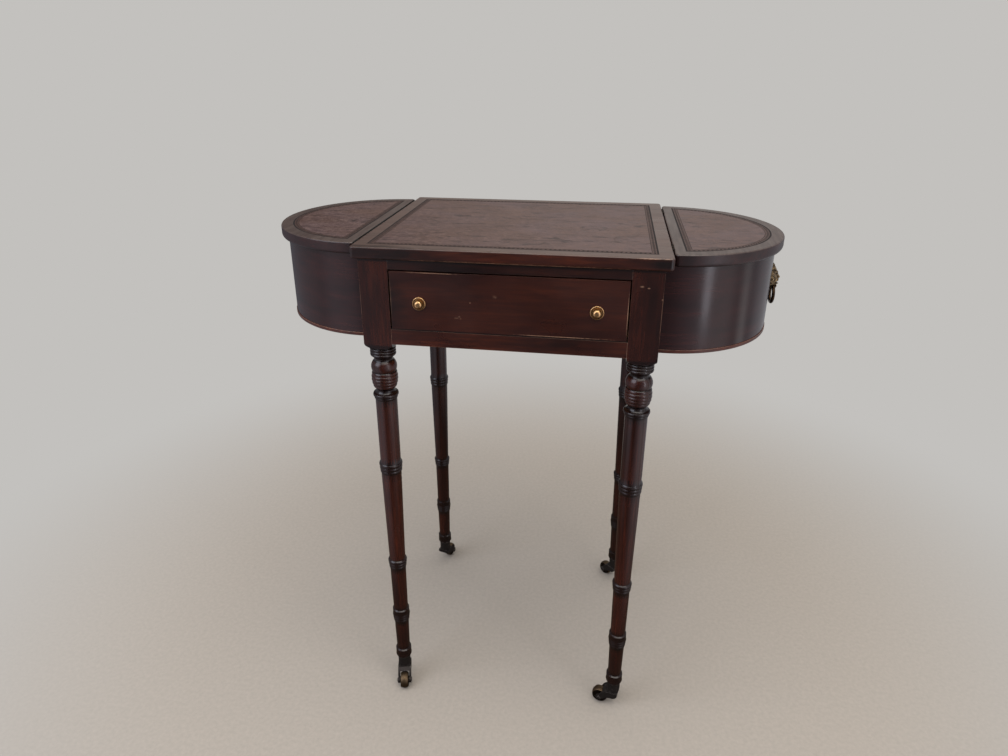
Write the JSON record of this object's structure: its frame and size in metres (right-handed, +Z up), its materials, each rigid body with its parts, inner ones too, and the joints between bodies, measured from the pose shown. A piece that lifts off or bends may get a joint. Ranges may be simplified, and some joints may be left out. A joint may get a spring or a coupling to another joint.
{
  "type": "sewing stand",
  "caption": "Sewing stand with a leather-topped carcass and drawer on turned legs with casters, and a half-round bin with a hinged lid and ring pull at each end.",
  "frame": {"origin": "on the floor, midway between the four legs", "axes": "+Z up; the drawer faces -Y; +X to the right as the drawer is seen from the front"},
  "size_m": [0.715, 0.363, 0.736],
  "materials": {
    "mahogany": "satin lacquer over dark red-brown stain",
    "drawer_oak": "bare planed wood",
    "tooled_leather": "worn waxed leather with a tooled border",
    "aged_brass": "aged, rubbed bright on the high spots",
    "dark_bronze": "dark patinated cast metal",
    "steel": "plain"
  },
  "bodies": {
    "stand": {"front_left_leg": "mahogany", "front_right_leg": "mahogany", "back_left_leg": "mahogany", "back_right_leg": "mahogany", "back_panel": "mahogany", "left_side_panel": "mahogany", "right_side_panel": "mahogany", "front_top_rail": "mahogany", "front_bottom_rail": "mahogany", "center_top": "mahogany", "left_bin_wall": "mahogany", "right_bin_wall": "mahogany", "left_bin_bottom": "mahogany", "right_bin_bottom": "mahogany", "left_drawer_runner": "drawer_oak", "right_drawer_runner": "drawer_oak", "drawer_kickers": "drawer_oak", "drawer_stops": "drawer_oak", "center_leather": "tooled_leather", "left_lion_mask": "aged_brass", "right_lion_mask": "aged_brass", "left_hinge_fixed_leaves": "aged_brass", "right_hinge_fixed_leaves": "aged_brass", "left_mask_bolt": "steel", "right_mask_bolt": "steel", "left_hinge_pins": "steel", "right_hinge_pins": "steel", "front_left_caster_cup": "dark_bronze", "front_right_caster_cup": "dark_bronze", "back_left_caster_cup": "dark_bronze", "back_right_caster_cup": "dark_bronze"},
    "drawer": {"drawer_front": "mahogany", "drawer_left_side": "drawer_oak", "drawer_right_side": "drawer_oak", "drawer_back": "drawer_oak", "drawer_bottom": "drawer_oak", "left_knob": "aged_brass", "right_knob": "aged_brass", "knob_screws": "steel"},
    "left_lid": {"left_lid": "mahogany", "left_lid_leather": "tooled_leather", "left_hinge_moving_leaves": "aged_brass"},
    "right_lid": {"right_lid": "mahogany", "right_lid_leather": "tooled_leather", "right_hinge_moving_leaves": "aged_brass"},
    "left_pull": {"left_pull_ring": "aged_brass"},
    "right_pull": {"right_pull_ring": "aged_brass"},
    "front_left_caster": {"front_left_caster_fork": "dark_bronze", "front_left_caster_axle": "steel"},
    "front_left_wheel": {"front_left_caster_wheel": "aged_brass"},
    "front_right_caster": {"front_right_caster_fork": "dark_bronze", "front_right_caster_axle": "steel"},
    "front_right_wheel": {"front_right_caster_wheel": "aged_brass"},
    "back_left_caster": {"back_left_caster_fork": "dark_bronze", "back_left_caster_axle": "steel"},
    "back_left_wheel": {"back_left_caster_wheel": "aged_brass"},
    "back_right_caster": {"back_right_caster_fork": "dark_bronze", "back_right_caster_axle": "steel"},
    "back_right_wheel": {"back_right_caster_wheel": "aged_brass"}
  },
  "joints": [
    {"name": "drawer_slide", "type": "slide", "parent": "stand", "child": "drawer", "axis": [0, -1, 0], "range_m": [0, 0.22]},
    {"name": "left_lid_hinge", "type": "hinge", "parent": "stand", "child": "left_lid", "pos_m": [-0.1996, 0, 0.7345], "axis": [0, 1, 0], "range_deg": [0, 95]},
    {"name": "right_lid_hinge", "type": "hinge", "parent": "stand", "child": "right_lid", "pos_m": [0.1996, 0, 0.7345], "axis": [0, -1, 0], "range_deg": [0, 95]},
    {"name": "left_pull_swing", "type": "hinge", "parent": "stand", "child": "left_pull", "pos_m": [-0.35, 0, 0.6593], "axis": [0, 1, 0], "range_deg": [-10, 85]},
    {"name": "right_pull_swing", "type": "hinge", "parent": "stand", "child": "right_pull", "pos_m": [0.35, 0, 0.6593], "axis": [0, -1, 0], "range_deg": [-10, 85]},
    {"name": "front_left_swivel", "type": "hinge", "parent": "stand", "child": "front_left_caster", "pos_m": [-0.1705, -0.1495, 0.03], "axis": [0, 0, 1], "continuous": true},
    {"name": "front_left_roll", "type": "hinge", "parent": "front_left_caster", "child": "front_left_wheel", "pos_m": [-0.166, -0.16899, 0.0125], "axis": [0.9744, 0.225, 0], "continuous": true},
    {"name": "front_right_swivel", "type": "hinge", "parent": "stand", "child": "front_right_caster", "pos_m": [0.1705, -0.1495, 0.03], "axis": [0, 0, 1], "continuous": true},
    {"name": "front_right_roll", "type": "hinge", "parent": "front_right_caster", "child": "front_right_wheel", "pos_m": [0.15101, -0.145, 0.0125], "axis": [-0.225, -0.9744, 0], "continuous": true},
    {"name": "back_left_swivel", "type": "hinge", "parent": "stand", "child": "back_left_caster", "pos_m": [-0.1705, 0.1495, 0.03], "axis": [0, 0, 1], "continuous": true},
    {"name": "back_left_roll", "type": "hinge", "parent": "back_left_caster", "child": "back_left_wheel", "pos_m": [-0.166, 0.16899, 0.0125], "axis": [-0.9744, 0.225, 0], "continuous": true},
    {"name": "back_right_swivel", "type": "hinge", "parent": "stand", "child": "back_right_caster", "pos_m": [0.1705, 0.1495, 0.03], "axis": [0, 0, 1], "continuous": true},
    {"name": "back_right_roll", "type": "hinge", "parent": "back_right_caster", "child": "back_right_wheel", "pos_m": [0.15564, 0.16288, 0.0125], "axis": [-0.6691, -0.7431, 0], "continuous": true}
  ]
}
